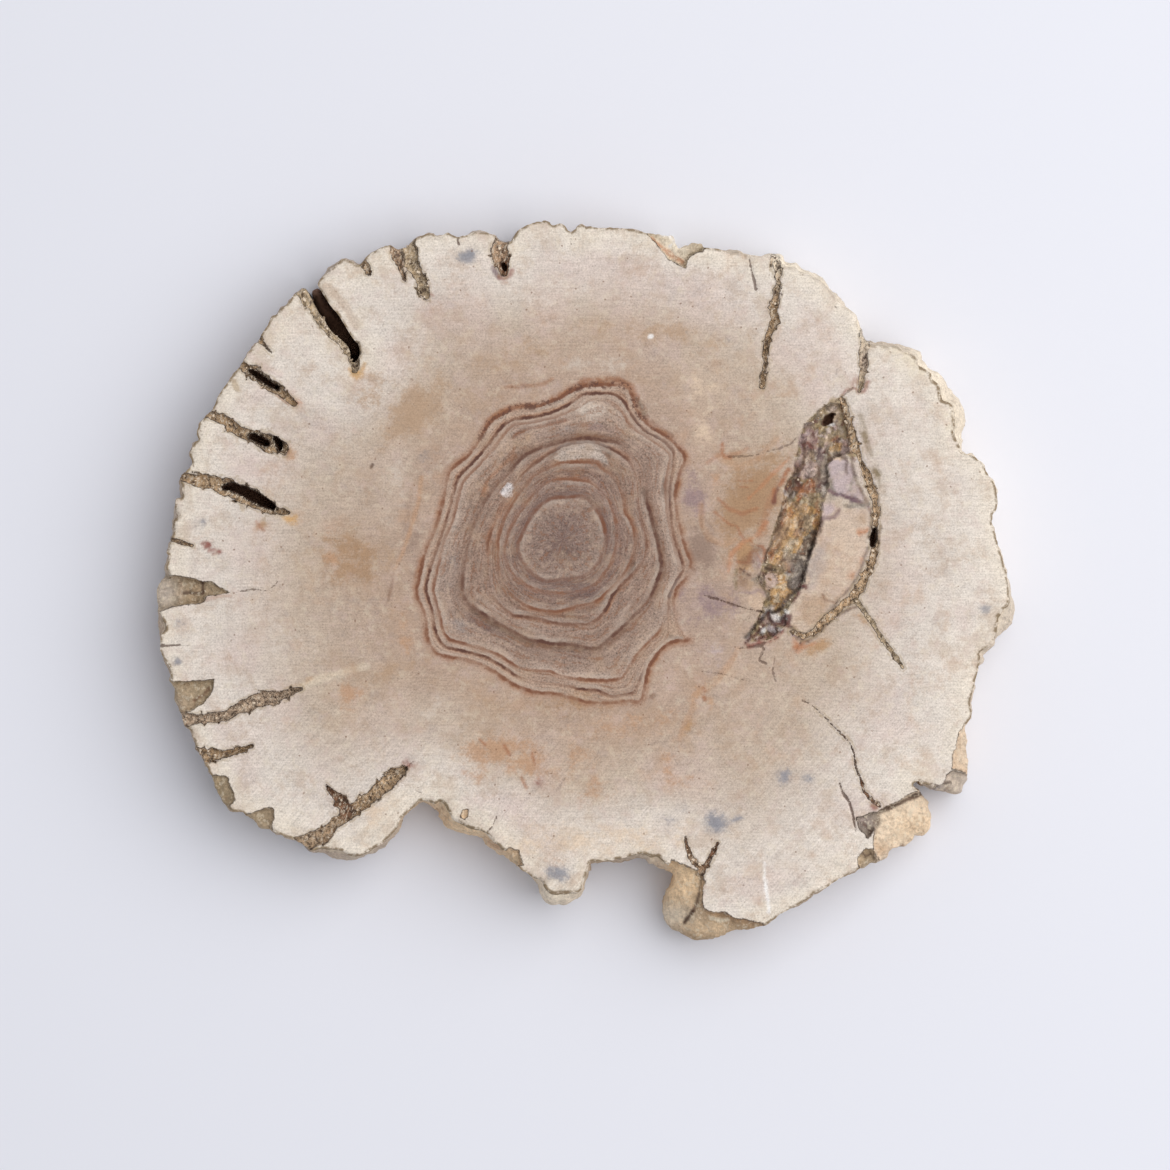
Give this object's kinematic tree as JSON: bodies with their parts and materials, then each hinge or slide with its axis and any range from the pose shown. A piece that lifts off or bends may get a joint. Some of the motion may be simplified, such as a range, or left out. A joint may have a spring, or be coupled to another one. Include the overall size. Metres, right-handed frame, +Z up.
{
  "type": "petrified wood slice",
  "caption": "Flat slice of petrified wood sawn across the log: smooth faces with growth rings and a knot, radial cracks, and a rough broken rim.",
  "frame": {"origin": "middle of the slice's outline, on the underside that it rests on", "axes": "+X along the slice's longest side, +Y across it in the sawn plane, +Z up out of the smooth face"},
  "size_m": [0.2499, 0.2089, 0.024],
  "materials": {
    "petrified_wood": "smooth sawn faces with a soft sheen, dull broken rim"
  },
  "bodies": {
    "root": {"petrified_wood_slice": "petrified_wood"}
  },
  "joints": []
}
